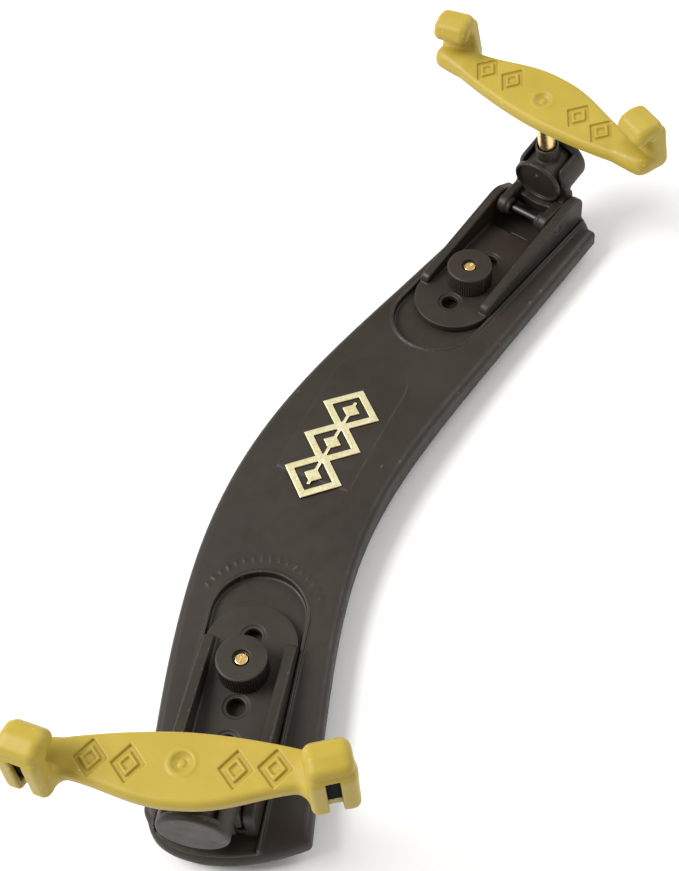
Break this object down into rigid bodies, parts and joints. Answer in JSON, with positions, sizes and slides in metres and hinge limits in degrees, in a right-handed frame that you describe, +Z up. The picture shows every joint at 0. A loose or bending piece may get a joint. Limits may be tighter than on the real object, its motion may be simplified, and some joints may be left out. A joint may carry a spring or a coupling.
{
  "type": "violin shoulder rest",
  "caption": "Adjustable violin shoulder rest: curved moulded bar with a foam pad and a clamped, folding, height-adjustable rubber fork at each end.",
  "frame": {"origin": "centre of the bounding box in plan, at the lowest face of the foam pad", "axes": "+X from the wide (near) end to the narrow (far) end along the line of the two fork stems, +Y to the outer side of the bend, +Z up towards the violin"},
  "size_m": [0.2416, 0.0822, 0.0663],
  "materials": {
    "bar_plastic": "fine-textured dark brown-black moulded plastic, satin",
    "foam": "dark closed-cell foam, matt",
    "gold_foil": "pale gold foil on a raised ornament",
    "fork_rubber": "mustard yellow soft rubber, semi-matt",
    "core_plastic": "dark blue-grey stiff plastic",
    "brass": "bright turned brass",
    "steel": "bright steel pin"
  },
  "bodies": {
    "bar": {"base_bar": "bar_plastic", "shoulder_pad": "foam", "gold_emblem": "gold_foil", "near_clamp_screw": "brass", "far_clamp_screw": "brass"},
    "near_end": {"near_slider": "bar_plastic", "near_hinge_pin": "steel"},
    "near_nut_carrier": {"near_nut_insert": "brass"},
    "near_nut": {"near_thumb_nut": "bar_plastic"},
    "near_folding_tower": {"near_tower": "bar_plastic"},
    "near_swivel": {"near_barrel": "bar_plastic", "near_stem_bush": "brass"},
    "near_stem": {"near_fork_stem": "brass"},
    "near_fork": {"near_fork_core": "core_plastic", "near_fork_cover": "fork_rubber"},
    "far_end": {"far_slider": "bar_plastic", "far_hinge_pin": "steel"},
    "far_nut_carrier": {"far_nut_insert": "brass"},
    "far_nut": {"far_thumb_nut": "bar_plastic"},
    "far_folding_tower": {"far_tower": "bar_plastic"},
    "far_swivel": {"far_barrel": "bar_plastic", "far_stem_bush": "brass"},
    "far_stem": {"far_fork_stem": "brass"},
    "far_fork": {"far_fork_core": "core_plastic", "far_fork_cover": "fork_rubber"}
  },
  "joints": [
    {"name": "near_end_lift_off", "type": "slide", "parent": "bar", "child": "near_end", "axis": [0, 0, 1], "range_m": [0, 0.01]},
    {"name": "near_nut_travel", "type": "slide", "parent": "near_end", "child": "near_nut_carrier", "axis": [0, 0, 1], "range_m": [0, 0.0024]},
    {"name": "near_nut_turn", "type": "hinge", "parent": "near_nut_carrier", "child": "near_nut", "pos_m": [-0.06519, 0.01309, 0.0146], "axis": [0, 0, 1], "range_deg": [0, 1080]},
    {"name": "near_tower_fold", "type": "hinge", "parent": "near_end", "child": "near_folding_tower", "pos_m": [-0.0915, 0.00701, 0.0156], "axis": [-0.225, 0.9744, 0], "range_deg": [0, 88]},
    {"name": "near_swivel_lean", "type": "hinge", "parent": "near_folding_tower", "child": "near_swivel", "pos_m": [-0.10416, 0.00409, 0.0226], "axis": [-0.9744, -0.225, 0], "range_deg": [-12, 12]},
    {"name": "near_stem_height", "type": "slide", "parent": "near_swivel", "child": "near_stem", "axis": [0, 0, 1], "range_m": [-0.002, 0.006]},
    {"name": "near_fork_turn", "type": "hinge", "parent": "near_stem", "child": "near_fork", "pos_m": [-0.10416, 0.00409, 0.0424], "axis": [0, 0, 1], "range_deg": [-900, 2700]},
    {"name": "far_end_lift_off", "type": "slide", "parent": "bar", "child": "far_end", "axis": [0, 0, 1], "range_m": [0, 0.01]},
    {"name": "far_nut_travel", "type": "slide", "parent": "far_end", "child": "far_nut_carrier", "axis": [0, 0, 1], "range_m": [0, 0.0024]},
    {"name": "far_nut_turn", "type": "hinge", "parent": "far_nut_carrier", "child": "far_nut", "pos_m": [0.07071, 0.00599, 0.0146], "axis": [0, 0, 1], "range_deg": [0, 1080]},
    {"name": "far_tower_fold", "type": "hinge", "parent": "far_end", "child": "far_folding_tower", "pos_m": [0.09667, -0.00146, 0.0156], "axis": [-0.2756, -0.9613, 0], "range_deg": [-10, 78]},
    {"name": "far_swivel_lean", "type": "hinge", "parent": "far_folding_tower", "child": "far_swivel", "pos_m": [0.1078, -0.00465, 0.02475], "axis": [0.9467, -0.2714, 0.1736], "range_deg": [-12, 12]},
    {"name": "far_stem_height", "type": "slide", "parent": "far_swivel", "child": "far_stem", "axis": [-0.1669, 0.0479, 0.9848], "range_m": [-0.0072, 0.0016]},
    {"name": "far_fork_turn", "type": "hinge", "parent": "far_stem", "child": "far_fork", "pos_m": [0.10356, -0.00343, 0.04976], "axis": [-0.1669, 0.0479, 0.9848], "range_deg": [-3240, 720]}
  ],
  "couplings": [
    {"joint": "near_nut_turn", "follows": "near_nut_travel", "rad_per_m": 7854},
    {"joint": "near_stem_height", "follows": "near_fork_turn", "m_per_rad": 0.00012732},
    {"joint": "far_nut_turn", "follows": "far_nut_travel", "rad_per_m": 7854},
    {"joint": "far_stem_height", "follows": "far_fork_turn", "m_per_rad": 0.00012732}
  ]
}
